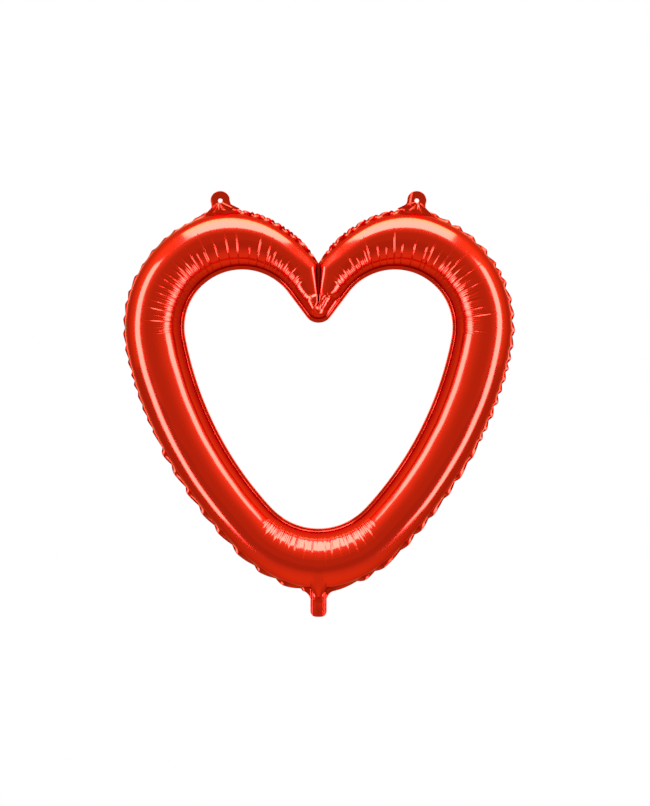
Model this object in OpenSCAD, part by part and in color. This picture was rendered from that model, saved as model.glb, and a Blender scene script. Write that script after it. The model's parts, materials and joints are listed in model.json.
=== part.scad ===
// Heart-shaped foil balloon frame, inflated: two film panels heat-sealed along an
// outer and an inner heart outline, so that air fills a tube round an open window.
// The heart stands in the XZ plane with its front facing -Y. The origin is the middle
// of the overall height, width and depth. Millimetres.

/* [Heart window] */
// Distance between the centres of the two lobe arcs
lobe_spacing = 252; // [225:1:300]
// Height of the lobe arc centres above the centre of the bottom arc
lobe_rise = 226; // [195:1:275]
// Radius of the window's two lobe arcs
window_lobe_r = 95; // [80:1:110]
// Radius of the window's two long side arcs
window_side_r = 570; // [470:1:690]
// Radius of the window's bottom arc
window_bottom_r = 106; // [88:1:125]
// Angle between the window's straight cleft sides and the vertical
cleft_angle = 37; // [32:1:42]
// Radius of the window's rounded cleft tip
cleft_tip_r = 25; // [20:1:30]

/* [Air tube] */
// Width of the tube across the lobes, seam to seam
tube_w_lobe = 90; // [75:1:108]
// Width of the tube at the lower sides
tube_w_side = 80; // [67:1:96]
// Width of the tube at the bottom, over the neck
tube_w_bottom = 92; // [76:1:110]
// Width of the tube where a lobe turns down into the cleft
tube_w_cleft = 68; // [56:1:82]
// Height of the web between the cleft's notch and the window's cleft tip
cleft_web = 37; // [31:1:44]
// Depth of the tube as a share of its width
tube_depth_ratio = 1; // [0.85:0.05:1.15]
// Thickness of a film panel
film_t = 0.5; // [0.4:0.05:0.6]

/* [Seams] */
// Width of the flat heat seal round the window
inner_seam_w = 7; // [5.5:0.1:8.5]
// Width of the flat heat seal round the outside
outer_seam_w = 7; // [5.5:0.1:8.5]
// Width of the outer seal where it is squeezed between the lobes
cleft_seam_w = 2; // [1.6:0.1:2.4]
// Thickness of a heat seal, which is two film plies fused together
seam_t = 1; // [0.8:0.1:1.2]

/* [Hanging tabs] */
// Distance between the two tabs
tab_spacing = 324; // [270:1:388]
// Width of a tab
tab_w = 32; // [26:1:38]
// Height of a tab's hole above the tab's fold line
tab_hole_rise = 13; // [11:0.5:16]
// Diameter of a tab's punched hole
tab_hole_d = 7; // [5.8:0.1:8.4]
// Radius of the fillets at a tab's foot
tab_foot_r = 7; // [5.8:0.1:8.4]

/* [Neck and valve] */
// Width of the filling neck
neck_w = 27; // [24:0.5:32.5]
// Length of the neck's free tail, below its fold line
tail_len = 28; // [24:1:33]
// Length of the fixed neck root, between the outer seam and the fold line
neck_root_len = 12; // [10:0.5:14]
// Depth of the tail where it stands open
tail_depth = 5; // [4.2:0.1:6]
// Width of the heat seals along the tail's sides
tail_weld_w = 3; // [2.5:0.1:3.6]
// Length of the valve
valve_len = 72; // [60:1:86]
// Thickness of a valve film
valve_t = 0.3; // [0.25:0.05:0.35]
// Width of the heat seals along the valve's sides
valve_weld_w = 2; // [1.7:0.1:2.4]
// Height of the heat seals that hold the valve in the neck
valve_root_h = 5; // [4.2:0.1:6]

/* [Fits] */
// Gap at each fold line, so that the folding film turns freely
fold_gap = 0.4; // [0.3:0.05:0.5]
// Gap between a tab's foot and the outer seam's edge
tab_gap = 1.44; // [1.2:0.02:1.7]
// Gap between the two lobes in the cleft
lobe_gap = 1; // [0.8:0.1:1.2]
// Gap between the two valve films
valve_gap = 0.1; // [0.08:0.01:0.12]
// Gap between the valve's sides and the seals at the neck's sides
valve_side_gap = 1; // [0.8:0.1:1.2]

/* [Hidden] */

foil_red = [0.80, 0.06, 0.02];
seal_red = [0.70, 0.05, 0.02];
valve_clear = [0.90, 0.90, 0.88];

// Points along one half of the heart, for each stretch of its outline
tip_steps = 5;
straight_steps = 6;
lobe_steps = 32;
side_steps = 18;
bottom_steps = 9;
neck_steps = 6;
// Facets across the tube
across_steps = 10;
// Facets along the tail, the valve film's round end and other small curves
tail_steps = 8;
small_fn = 48;
// Steps round a tab's head and fillets, and how far each fillet turns before its blunt end
head_steps = 24;
fillet_steps = 6;
fillet_turn = 70;

seam_half = seam_t / 2;
valve_gap_half = valve_gap / 2;

// Angular half width of the neck, seen from the centre of the bottom arc, and of its flare
neck_edge_r = window_bottom_r + inner_seam_w + tube_w_bottom + outer_seam_w;
root_r = neck_edge_r + neck_root_len;
neck_fan = asin(neck_w / 2 / root_r);
neck_flare = neck_fan * 1.7;

// A tab's foot lies on the outer seam's edge, at this angle round the lobe
lobe_edge_r = window_lobe_r + inner_seam_w + tube_w_lobe + outer_seam_w;
tab_reach = (tab_spacing - lobe_spacing) / 2;
tab_angle = acos(tab_reach / lobe_edge_r);
// The tab stands off the seam's edge as that edge is at its own angle, where the tube may be narrowing
tab_seam_r = window_lobe_r + inner_seam_w + lobe_tube_w(tab_angle) + lobe_seam_w(tab_angle);
tab_fold_r = tab_seam_r + tab_gap + seam_half;
tab_lean = 90 - tab_angle;

// Heights above the centre of the bottom arc, and that centre's own height
tab_head_z = lobe_rise + tab_fold_r * sin(tab_angle) + tab_hole_rise;
top_z = tab_head_z + tab_w / 2;
bottom_z = -(root_r + tail_len);
bottom_c = [0, -(top_z + bottom_z) / 2];
lobe_c = bottom_c + [lobe_spacing / 2, lobe_rise];

// The side arc touches both the lobe arc and the bottom arc from outside
lobe_to_bottom = norm(bottom_c - lobe_c);
along = (bottom_c - lobe_c) / lobe_to_bottom;
beside = [along.y, -along.x];
to_lobe = window_side_r - window_lobe_r;
to_bottom = window_side_r - window_bottom_r;
side_along = (to_lobe ^ 2 - to_bottom ^ 2 + lobe_to_bottom ^ 2) / (2 * lobe_to_bottom);
side_c = lobe_c + side_along * along + sqrt(to_lobe ^ 2 - side_along ^ 2) * beside;
side_top_angle = atan2(lobe_c.y - side_c.y, lobe_c.x - side_c.x);
side_low_angle = atan2(bottom_c.y - side_c.y, bottom_c.x - side_c.x);

// The straight cleft side touches the lobe arc, and the tip arc touches both straight sides
cleft_normal = [-cos(cleft_angle), sin(cleft_angle)];
cleft_top = lobe_c + window_lobe_r * cleft_normal;
tip_c = [0, cleft_top.y + (cleft_tip_r - cleft_top.x * cos(cleft_angle)) / sin(cleft_angle)];
cleft_low = tip_c - cleft_tip_r * cleft_normal;
notch_z = tip_c.y - cleft_tip_r + cleft_web;
cleft_top_reach = (cleft_top.x - lobe_gap / 2) / cos(cleft_angle);
cleft_top_edge_z = cleft_top.y + cleft_top_reach * sin(cleft_angle);
straight_len = norm(cleft_top - cleft_low);
tip_len = cleft_tip_r * (90 - cleft_angle) * PI / 180;
cleft_len = straight_len + tip_len;

function mix(a, b, t) = a + (b - a) * t;
function clamp01(t) = min(1, max(0, t));
function smooth(t) = let (c = clamp01(t)) c * c * (3 - 2 * c);
function spot(angle) = [cos(angle), sin(angle)];

// A station is one cut across the heart's band:
// [window edge point, direction outwards, inner seam, tube width, outer seam, half depth, tail length]

// In the cleft the outer edge runs down beside the mirror plane to the notch; "down" goes from 0
// where the lobe arc ends to 1 at the tip
function cleft_station(edge, down) =
    let (
        outer = [down < 1 ? lobe_gap / 2 : 0, mix(cleft_top_edge_z, notch_z, down)],
        reach = norm(outer - edge),
        tube_w = reach - inner_seam_w - cleft_seam_w,
        half_depth = mix(tube_w_cleft, cleft_web - inner_seam_w, down) / 2 * tube_depth_ratio
    )
    [edge, (outer - edge) / reach, inner_seam_w, tube_w, cleft_seam_w, half_depth, 0];

// Round the lobe the tube keeps its width, then narrows towards the cleft, where the mirror plane stops it
function lobe_narrowing(angle) = (angle - 70) / (110 - cleft_angle);
function lobe_tube_w(angle) = mix(tube_w_lobe, tube_w_cleft, smooth(lobe_narrowing(angle)));
function lobe_seam_w(angle) = mix(outer_seam_w, cleft_seam_w, smooth(2 * lobe_narrowing(angle) - 1));
function lobe_station(angle) =
    let (
        out = spot(angle),
        edge = lobe_c + window_lobe_r * out,
        wide = lobe_tube_w(angle),
        outer_w = lobe_seam_w(angle),
        room = out.x < 0 ? (edge.x - lobe_gap / 2) / -out.x : 2 * lobe_edge_r,
        tube_w = min(wide, room - inner_seam_w - outer_w)
    )
    [edge, out, inner_seam_w, tube_w, outer_w, wide / 2 * tube_depth_ratio, 0];

function side_station(angle) =
    let (
        out = spot(angle),
        share = (side_top_angle - angle) / (side_top_angle - side_low_angle),
        tube_w = mix(tube_w_lobe, tube_w_side, smooth(share))
    )
    [side_c + window_side_r * out, out, inner_seam_w, tube_w, outer_seam_w, tube_w / 2 * tube_depth_ratio, 0];

// At the neck the band runs on down to the fold line, and a flare joins the neck to the outer seam
function bottom_station(angle) =
    let (
        out = spot(angle),
        off = angle + 90,
        share = (side_low_angle - angle) / (side_low_angle + 90),
        tube_w = mix(tube_w_side, tube_w_bottom, smooth(share)),
        edge_r = window_bottom_r + inner_seam_w + tube_w + outer_seam_w,
        in_flare = 1 - smooth((off - neck_fan) / (neck_flare - neck_fan)),
        seam_w = mix(outer_seam_w, seam_half, in_flare),
        root_reach = root_r / cos(off) - edge_r,
        tail = in_flare * root_reach + outer_seam_w - seam_w
    )
    [bottom_c + window_bottom_r * out, out, inner_seam_w, tube_w, seam_w, tube_w / 2 * tube_depth_ratio, tail];

right_half = [
    for (i = [0 : tip_steps - 1])
        let (angle = mix(-90, -cleft_angle, i / tip_steps))
        cleft_station(tip_c + cleft_tip_r * spot(angle), 1 - tip_len * i / tip_steps / cleft_len),
    for (i = [0 : straight_steps - 1])
        cleft_station(
            mix(cleft_low, cleft_top, i / straight_steps),
            straight_len * (1 - i / straight_steps) / cleft_len
        ),
    for (i = [0 : lobe_steps - 1]) lobe_station(mix(180 - cleft_angle, side_top_angle, i / lobe_steps)),
    for (i = [0 : side_steps - 1]) side_station(mix(side_top_angle, side_low_angle, i / side_steps)),
    for (i = [0 : bottom_steps - 1]) bottom_station(mix(side_low_angle, neck_flare - 90, i / bottom_steps)),
    for (i = [0 : 2 * neck_steps]) bottom_station(-90 + neck_flare * (1 - i / (2 * neck_steps)))
];
half_count = len(right_half);

function mirrored(s) = [[-s[0].x, s[0].y], [-s[1].x, s[1].y], s[2], s[3], s[4], s[5], s[6]];
heart_ring = concat(right_half, [for (i = [half_count - 2 : -1 : 1]) mirrored(right_half[i])]);

// The outer seam stops at each side of the neck, where air goes in between the films
seam_first = half_count - 1 - floor(2 * neck_steps * neck_fan / neck_flare);
open_ring = concat(
    [for (i = [seam_first : -1 : 0]) mirrored(right_half[i])],
    [for (i = [1 : seam_first]) right_half[i]]
);

// A point of a station's cut: reach is the distance from the window's edge, y the depth
function cut_point(s, reach, y) = [s[0].x + s[1].x * reach, y, s[0].y + s[1].y * reach];

// Depth of the tube's wall at a distance from the inner seam, seen from the seam's face.
// Over a tail the tube's bulge runs out into a low crown, which is shut at the fold line.
function wall_depth(s, reach, inset) =
    let (
        half_w = s[3] / 2 - inset,
        middle = s[3] / 2,
        share = min(1, abs(reach - middle) / half_w),
        bulge = (s[5] - inset) * sqrt(1 - share ^ 2),
        tail = s[6],
        past = (reach - s[3] * 0.85) / (tail + s[3] * 0.15),
        crown = tail > outer_seam_w ? (tail_depth / 2 - inset) * sin(180 * clamp01(past)) : 0
    )
    max(bulge, crown, 0);

// Points across a film: evenly round the tube's bulge, with the last few drawn out over a tail
function film_reach(s, j) =
    let (share = j / across_steps)
    s[3] * (1 - cos(180 * share)) / 2 + s[6] * smooth(4 * share - 3);

function film_section(s, side) =
    let (inner_share = 1 - 2 * film_t / (s[3] + s[6]))
    [
        for (j = [0 : across_steps])
            let (reach = film_reach(s, j))
            cut_point(s, s[2] + reach, side * (seam_half + wall_depth(s, reach, 0))),
        for (j = [across_steps : -1 : 0])
            let (
                reach = film_t + film_reach(s, j) * inner_share,
                free = j > 0 && j < across_steps
            )
            cut_point(s, s[2] + reach, side * (seam_half + (free ? wall_depth(s, reach, film_t) : 0)))
    ];

function band_section(s, from, to) = [
    cut_point(s, from, -seam_half),
    cut_point(s, to, -seam_half),
    cut_point(s, to, seam_half),
    cut_point(s, from, seam_half)
];

// Skins a row of sections, each the same number of points, into one closed solid
module skin(sections, closed_ring) {
    rows = len(sections);
    size = len(sections[0]);
    points = [for (section = sections) each section];
    walls = [
        for (i = [0 : rows - (closed_ring ? 1 : 2)]) for (j = [0 : size - 1])
            let (
                next = (i + 1) % rows,
                over = (j + 1) % size,
                a = i * size + j,
                b = i * size + over,
                c = next * size + over,
                d = next * size + j
            )
            each [[a, b, c], [a, c, d]]
    ];
    // Each end is closed by a strip between the section's two long rows of points
    last = (rows - 1) * size;
    ends = [
        for (j = [0 : size / 2 - 2])
            let (over = j + 1, across = size - 2 - j, back = size - 1 - j)
            each [
                [over, j, across],
                [across, j, back],
                [last + j, last + over, last + across],
                [last + j, last + across, last + back]
            ]
    ];
    polyhedron(points, closed_ring ? walls : concat(walls, ends));
}

// One foil panel: a half tube, side -1 for the front and 1 for the back
module film(side) {
    sections = [for (s = heart_ring) film_section(s, side)];
    color(foil_red) skin(side < 0 ? sections : [for (i = [len(sections) - 1 : -1 : 0]) sections[i]], true);
}

module inner_seam() {
    color(seal_red) skin([for (s = heart_ring) band_section(s, 0, s[2] + film_t)], true);
}

module outer_seam() {
    color(seal_red) skin([
        for (s = open_ring)
            let (seam_line = s[2] + s[3] + s[6])
            band_section(s, seam_line - film_t, seam_line + s[4])
    ], false);
}

// Turns a flat outline, drawn in x and height, into a sheet of the given thickness about y = 0
module sheet(thickness) {
    rotate([90, 0, 0]) linear_extrude(height = thickness, center = true) children();
}

function arc(centre, r, from, to, steps) = [for (i = [0 : steps]) centre + r * spot(mix(from, to, i / steps))];

// A tab's outline: its foot on the x axis between two fillets with blunt ends, and a round head
// that leans so that it stands straight over the foot's middle
module tab_outline() {
    fillet_x = tab_w / 2 + tab_foot_r;
    foot_x = fillet_x - tab_foot_r * cos(fillet_turn);
    polygon(concat(
        [[-foot_x, 0], [foot_x, 0]],
        arc([fillet_x, tab_foot_r], tab_foot_r, 180 + fillet_turn, 180, fillet_steps),
        arc(tab_hole_rise * [sin(tab_lean), cos(tab_lean)], tab_w / 2, 0, 180, head_steps),
        arc([-fillet_x, tab_foot_r], tab_foot_r, 0, -fillet_turn, fillet_steps)
    ));
}

// A hanging tab with its punched hole; side 1 is the right tab. Its foot lies on its fold line.
module tab(side) {
    fold = lobe_c + tab_fold_r * spot(tab_angle);
    color(seal_red) mirror([side < 0 ? 1 : 0, 0, 0]) translate([fold.x, 0, fold.y])
        difference() {
            rotate([0, tab_lean, 0]) sheet(seam_t) tab_outline();
            translate([0, 0, tab_hole_rise]) rotate([90, 0, 0])
                cylinder(d = tab_hole_d, h = 4 * seam_t, center = true, $fn = small_fn);
        }
}
module left_tab() tab(-1);
module right_tab() tab(1);

// The tail hangs from the neck's fold line
fold_z = bottom_c.y - root_r;
tail_top = fold_z - fold_gap - seam_half;
tail_bottom = bottom_c.y + bottom_z;

// Depth of the tail's film at a share of its length: pinched shut at the fold line, open lower down
function tail_crown(share) = (tail_depth / 2 - seam_half) * smooth(share * 2.5) * (1 - 0.4 * smooth(share * 2 - 1));

function tail_section(share, side) =
    let (
        z = mix(tail_top, tail_bottom, share),
        half_w = neck_w / 2 - tail_weld_w,
        crown = tail_crown(share)
    )
    [
        for (j = [0 : across_steps])
            let (x = half_w * (2 * j / across_steps - 1))
            [x, side * (film_t + crown * cos(90 * x / half_w)), z],
        for (j = [across_steps : -1 : 0])
            let (x = half_w * (2 * j / across_steps - 1))
            [x, side * crown * cos(90 * x / half_w), z]
    ];

module tail_film(side) {
    sections = [for (i = [0 : tail_steps]) tail_section(i / tail_steps, side)];
    color(foil_red) skin(side < 0 ? sections : [for (i = [tail_steps : -1 : 0]) sections[i]], false);
}

// The tail's side seals have round lower corners
module tail_side_welds() {
    color(seal_red) for (side = [-1, 1])
        mirror([side < 0 ? 1 : 0, 0, 0]) translate([neck_w / 2 - tail_weld_w, 0, tail_bottom])
            sheet(2 * film_t) union() {
                translate([0, tail_weld_w]) square([tail_weld_w, tail_top - tail_bottom - tail_weld_w]);
                intersection() {
                    translate([0, tail_weld_w]) circle(r = tail_weld_w, $fn = small_fn);
                    square(tail_weld_w);
                }
            }
}

valve_bottom = fold_z + fold_gap;
valve_top = valve_bottom + valve_len;
valve_skin = valve_gap_half + valve_t;
valve_w = neck_w - 2 * (tail_weld_w + valve_side_gap);

module valve_outline() {
    translate([-valve_w / 2, valve_bottom]) square([valve_w, valve_len - valve_w / 2]);
    translate([0, valve_top - valve_w / 2]) circle(d = valve_w, $fn = small_fn);
}

// A limp film of the valve: air pressure holds the pair shut
module valve_film(side) {
    color(valve_clear) translate([0, side * (valve_gap_half + valve_t / 2), 0])
        sheet(valve_t) valve_outline();
}

module valve_side_welds() {
    weld_len = valve_len - valve_w / 2;
    color(valve_clear) for (side = [-1, 1])
        translate([side * (valve_w - valve_weld_w) / 2 - valve_weld_w / 2, 0, valve_bottom])
            sheet(valve_gap) square([valve_weld_w, weld_len]);
}

// Hold the valve's lower end to the front and back films, just above the fold line
module valve_root_welds() {
    gap = seam_half - valve_skin;
    color(valve_clear) for (side = [-1, 1])
        translate([-valve_w / 2, side * (valve_skin + gap / 2), valve_bottom])
            sheet(gap) square([valve_w, valve_root_h]);
}

film(-1);  // front_film
film(1);  // back_film
outer_seam();
inner_seam();
left_tab();
right_tab();
tail_film(-1);  // tail_front_film
tail_film(1);  // tail_back_film
tail_side_welds();
valve_film(-1);  // valve_front_film
valve_film(1);  // valve_back_film
valve_side_welds();
valve_root_welds();
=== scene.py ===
import json
import math

import bpy
import numpy as np
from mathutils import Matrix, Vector


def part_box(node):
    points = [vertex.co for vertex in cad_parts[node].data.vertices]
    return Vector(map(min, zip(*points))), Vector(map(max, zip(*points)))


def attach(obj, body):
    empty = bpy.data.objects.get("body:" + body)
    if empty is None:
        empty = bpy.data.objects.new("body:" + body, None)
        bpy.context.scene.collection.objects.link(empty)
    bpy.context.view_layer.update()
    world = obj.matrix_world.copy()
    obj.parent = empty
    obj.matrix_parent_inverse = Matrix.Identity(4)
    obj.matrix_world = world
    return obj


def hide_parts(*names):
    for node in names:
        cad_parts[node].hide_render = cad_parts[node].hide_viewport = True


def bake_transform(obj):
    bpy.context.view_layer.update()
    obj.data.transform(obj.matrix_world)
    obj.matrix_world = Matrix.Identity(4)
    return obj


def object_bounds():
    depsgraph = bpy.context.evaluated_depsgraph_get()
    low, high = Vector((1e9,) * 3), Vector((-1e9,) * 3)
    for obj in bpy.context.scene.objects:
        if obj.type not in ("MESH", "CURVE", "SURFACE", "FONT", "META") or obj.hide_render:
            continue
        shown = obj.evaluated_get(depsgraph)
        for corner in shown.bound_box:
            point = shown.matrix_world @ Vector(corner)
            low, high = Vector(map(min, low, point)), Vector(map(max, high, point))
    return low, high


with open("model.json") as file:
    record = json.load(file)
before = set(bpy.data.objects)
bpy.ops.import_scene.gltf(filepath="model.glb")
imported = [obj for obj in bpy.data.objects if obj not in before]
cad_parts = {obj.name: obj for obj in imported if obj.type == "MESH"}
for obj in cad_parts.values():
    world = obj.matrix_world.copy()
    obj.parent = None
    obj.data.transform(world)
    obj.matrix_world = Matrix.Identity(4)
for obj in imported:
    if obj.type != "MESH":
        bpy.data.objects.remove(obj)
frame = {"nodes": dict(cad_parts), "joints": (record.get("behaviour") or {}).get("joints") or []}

cad_low, cad_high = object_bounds()

# ---------------------------------------------------------------------------------------
# The camera. It looks straight at the balloon's front from three metres away, level with
# the middle of the heart, so that the heart fills a little over half of the view.
VIEW_DISTANCE = 3.0
VIEW_HEIGHT = 1.33          # what the view takes in from top to bottom, at the heart's own plane
VIEW_CENTRE = (0.0107, 0.0010)       # the x and z that it looks at
SENSOR = 36.0

camera = bpy.data.objects.new("camera", bpy.data.cameras.new("camera"))
bpy.context.scene.collection.objects.link(camera)
camera.location = (VIEW_CENTRE[0], -VIEW_DISTANCE, VIEW_CENTRE[1])
camera.rotation_euler = (math.radians(90), 0, 0)
camera.data.sensor_width = SENSOR
camera.data.lens = SENSOR * VIEW_DISTANCE / VIEW_HEIGHT
bpy.context.scene.camera = camera

# ---------------------------------------------------------------------------------------
# The front and back foil: two like panels of thin metallised film, each a ring in one piece.
# They are heat-sealed to each other round the window and round the outside, and blown tight.

# The outline that both panels and both seals are cut to. The window is two lobe arcs, two
# long side arcs, a bottom arc, and two straight cleft sides that meet in a small tip arc.
# The tube between the seals follows it, and narrows into the cleft.
LOBE_SPACING = 0.252        # between the centres of the two lobe arcs
LOBE_RISE = 0.226           # from the bottom arc's centre up to the lobe arcs' centres
WINDOW_LOBE_R = 0.095
WINDOW_SIDE_R = 0.570
WINDOW_BOTTOM_R = 0.106
CLEFT_ANGLE = 37.0
CLEFT_TIP_R = 0.025
TUBE_LOBE, TUBE_SIDE, TUBE_BOTTOM = 0.090, 0.080, 0.092
TUBE_CLEFT = 0.060          # where a lobe turns down into the cleft
TUBE_NARROWS = 70           # how far round the lobe it starts to narrow to that, in degrees
CLEFT_WEB = 0.037           # from the cleft's tip up to its notch
INNER_SEAL, OUTER_SEAL, CLEFT_SEAL = 0.007, 0.007, 0.002
CLEFT_TIP_DEPTH = 0.024     # how far the tube stands out over the cleft's tip
NECK_W = 0.027
NECK_BULGE = 0.017          # how far the air tube bulges down into the neck
BULGE_FLAT = 0.45           # the share of it over the neck's whole width; the rest is a round nose
BULGE_SIDE = 0.006          # how softly it starts at the neck's sides
BULGE_FROM = 0.74           # the share of the tube's width from which its film follows the bulge
NOSE_HALF = 0.010           # half the nose's width
# Cuts across the tube, for one half of the heart: closest where the foil is pleated
TIP_CUTS, CLEFT_CUTS, LOBE_CUTS, SIDE_CUTS, BOTTOM_CUTS = 20, 56, 590, 200, 200

# The lowest point of the inner seal's CAD solid is its outer edge, half a millimetre into the tube
SEAL_LAP = 0.0005
neck_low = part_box("tail_side_welds")[0].z
window_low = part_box("inner_seam")[0].z + INNER_SEAL + SEAL_LAP
bottom_centre = np.array([0.0, window_low + WINDOW_BOTTOM_R])
lobe_centre = bottom_centre + np.array([LOBE_SPACING / 2, LOBE_RISE])


def spot(angle):
    """Points on the unit circle, one row for each angle in degrees."""
    turn = np.radians(np.asarray(angle, float))
    return np.stack([np.cos(turn), np.sin(turn)], -1)


def mix(a, b, share):
    """The value a given share of the way from a to b."""
    return a + (b - a) * share


def smooth(share):
    """0 up to 0 and 1 from 1 on, with a soft rise between."""
    held = np.clip(share, 0.0, 1.0)
    return held * held * (3 - 2 * held)


# The side arc's centre lies where it touches both the lobe arc and the bottom arc
down_axis = bottom_centre - lobe_centre
span = np.hypot(*down_axis)
down_axis = down_axis / span
lobe_reach = WINDOW_SIDE_R - WINDOW_LOBE_R
bottom_reach = WINDOW_SIDE_R - WINDOW_BOTTOM_R
foot = (lobe_reach**2 - bottom_reach**2 + span**2) / (2 * span)
beside = np.array([down_axis[1], -down_axis[0]])
side_centre = lobe_centre + foot * down_axis + math.sqrt(lobe_reach**2 - foot**2) * beside
side_top = math.degrees(math.atan2(*(lobe_centre - side_centre)[::-1]))
side_low = math.degrees(math.atan2(*(bottom_centre - side_centre)[::-1]))

cleft_normal = spot(180 - CLEFT_ANGLE)
cleft_top = lobe_centre + WINDOW_LOBE_R * cleft_normal
tip_rise = CLEFT_TIP_R / math.sin(math.radians(CLEFT_ANGLE))
tip_centre = np.array([0, cleft_top[1] + tip_rise - cleft_top[0] / math.tan(math.radians(CLEFT_ANGLE))])
cleft_low = tip_centre - CLEFT_TIP_R * cleft_normal
notch_z = tip_centre[1] - CLEFT_TIP_R + CLEFT_WEB
cleft_edge_reach = cleft_top[0] / math.cos(math.radians(CLEFT_ANGLE))
cleft_edge_z = cleft_top[1] + cleft_edge_reach * math.sin(math.radians(CLEFT_ANGLE))


def cuts(edge, out, inner, width, outer, half_depth, bulge=0.0):
    """Stacks a stretch's cuts: window edge x z, outward x z, seal and tube widths, half depth, bulge."""
    columns = [edge[:, 0], edge[:, 1], out[:, 0], out[:, 1]]
    for value in (inner, width, outer, half_depth, bulge):
        columns.append(np.broadcast_to(value, len(edge)))
    return np.stack(columns, 1)


def cleft_cuts(edge, down):
    """Cuts beside the cleft, where the two lobes are pressed together on the heart's middle line."""
    outer_end = np.stack([np.zeros(len(edge)), mix(cleft_edge_z, notch_z, down)], 1)
    across = outer_end - edge
    reach = np.hypot(across[:, 0], across[:, 1])
    half_depth = mix(TUBE_CLEFT / 2, CLEFT_TIP_DEPTH, down)
    width = reach - INNER_SEAL - CLEFT_SEAL
    return cuts(edge, across / reach[:, None], INNER_SEAL, width, CLEFT_SEAL, half_depth)


def lobe_cuts(angle):
    """Cuts round a lobe, which stop short where the other lobe is in their way."""
    out = spot(angle)
    edge = lobe_centre + WINDOW_LOBE_R * out
    narrowing = (angle - TUBE_NARROWS) / (180 - CLEFT_ANGLE - TUBE_NARROWS)
    wide = mix(TUBE_LOBE, TUBE_CLEFT, smooth(narrowing))
    outer = mix(OUTER_SEAL, CLEFT_SEAL, smooth(4 * narrowing - 3))
    room = np.where(out[:, 0] < 0, edge[:, 0] / np.maximum(-out[:, 0], 1e-6), 1.0)
    return cuts(edge, out, INNER_SEAL, np.minimum(wide, room - INNER_SEAL - outer), outer, wide / 2)


def side_cuts(angle):
    """Cuts down the long side, where the tube gets a little narrower."""
    width = mix(TUBE_LOBE, TUBE_SIDE, smooth((side_top - angle) / (side_top - side_low)))
    out = spot(angle)
    return cuts(side_centre + WINDOW_SIDE_R * out, out, INNER_SEAL, width, OUTER_SEAL, width / 2)


def bottom_cuts(angle):
    """Cuts round the bottom, where the tube bulges down into the neck."""
    out = spot(angle)
    width = mix(TUBE_SIDE, TUBE_BOTTOM, smooth((side_low - angle) / (side_low + 90)))
    edge_x = np.abs(out[:, 0]) * (WINDOW_BOTTOM_R + INNER_SEAL + width)
    channel = smooth((NECK_W / 2 + 0.001 - edge_x) / BULGE_SIDE)
    bulge = NECK_BULGE * (BULGE_FLAT * channel + (1 - BULGE_FLAT) * smooth(1 - edge_x / NOSE_HALF))
    edge = bottom_centre + WINDOW_BOTTOM_R * out
    return cuts(edge, out, INNER_SEAL, width, OUTER_SEAL, width / 2, bulge)


def steps(start, end, count):
    """Even steps from start, which leave the end to the next stretch."""
    return np.linspace(start, end, count, endpoint=False)


straight_len = np.hypot(*(cleft_top - cleft_low))
tip_len = CLEFT_TIP_R * math.radians(90 - CLEFT_ANGLE)
tip_down = 1 - tip_len * steps(0, 1, TIP_CUTS) / (tip_len + straight_len)
straight_share = steps(0, 1, CLEFT_CUTS)
straight_down = straight_len * (1 - straight_share) / (tip_len + straight_len)
half_heart = np.vstack([
    cleft_cuts(tip_centre + CLEFT_TIP_R * spot(steps(-90, -CLEFT_ANGLE, TIP_CUTS)), tip_down),
    cleft_cuts(mix(cleft_low, cleft_top, straight_share[:, None]), straight_down),
    lobe_cuts(steps(180 - CLEFT_ANGLE, side_top, LOBE_CUTS)),
    side_cuts(steps(side_top, side_low, SIDE_CUTS)),
    bottom_cuts(np.linspace(side_low, -90, BOTTOM_CUTS + 1)),
])
mirrored = half_heart[-2:0:-1] * np.array([-1, 1, -1, 1, 1, 1, 1, 1, 1])
heart = np.vstack([half_heart, mirrored])
point_cut = len(half_heart) - 1
edge_xz, out_xz = heart[:, 0:2], heart[:, 2:4]
inner_w, tube_w, outer_w, half_depth = heart[:, 4:5], heart[:, 5:6], heart[:, 6:7], heart[:, 7:8]
neck_bulge = heart[:, 8:9]
seam_reach = inner_w + tube_w + neck_bulge

# How far along the tube each cut is, measured down the tube's middle from the cleft's tip
middle = edge_xz + out_xz * (inner_w + tube_w / 2)
leg = np.hypot(*(np.roll(middle, -1, 0) - middle).T)
run = np.concatenate([[0.0], np.cumsum(leg)])
run_total = run[-1]
run = run[:-1]
from_tip = np.minimum(run, run_total - run)
lobe_start_run = run[TIP_CUTS + CLEFT_CUTS]
side_start_run = run[TIP_CUTS + CLEFT_CUTS + LOBE_CUTS]
bottom_start_run = run[TIP_CUTS + CLEFT_CUTS + LOBE_CUTS + SIDE_CUTS]
point_run = run[point_cut]
side_middle_run = mix(side_start_run, bottom_start_run, 0.42)       # where the seal's folds turn broad


def lobe_run(angle):
    """How far along the tube a place on the right lobe is, by its angle round the lobe's centre."""
    return mix(lobe_start_run, side_start_run, (180 - CLEFT_ANGLE - angle) / (180 - CLEFT_ANGLE - side_top))


def bottom_run(angle):
    """How far along the tube a place round the bottom is, by its angle."""
    return mix(bottom_start_run, point_run, (side_low - angle) / (side_low + 90))


# The blown film. Where the flat film is bent round a curve, its inner side has too much
# length, and takes it up in radial pleats that run out at the middle of the tube. At the
# cleft's tip all of them meet in a crumple.
FILM = 0.0003               # drawn thickness of a film
SEAL_HALF = 0.00015         # half the drawn thickness of a seal
ACROSS = 38                 # facets across the tube, outside: three short ones, then even ones
INSIDE_PICKS = (38, 30, 24, 18, 12, 6, 0)      # the points that the inner surface repeats
SEAL_FILLET = 0.0006        # where the film rounds up from the inner seal
CROWN_SHIFT = 0.1           # the tube is highest a little outside its middle, as a share of half its width
PRESSED = 4.6               # how square the lobes' sections are at the cleft's tip; 2 is round

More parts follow.
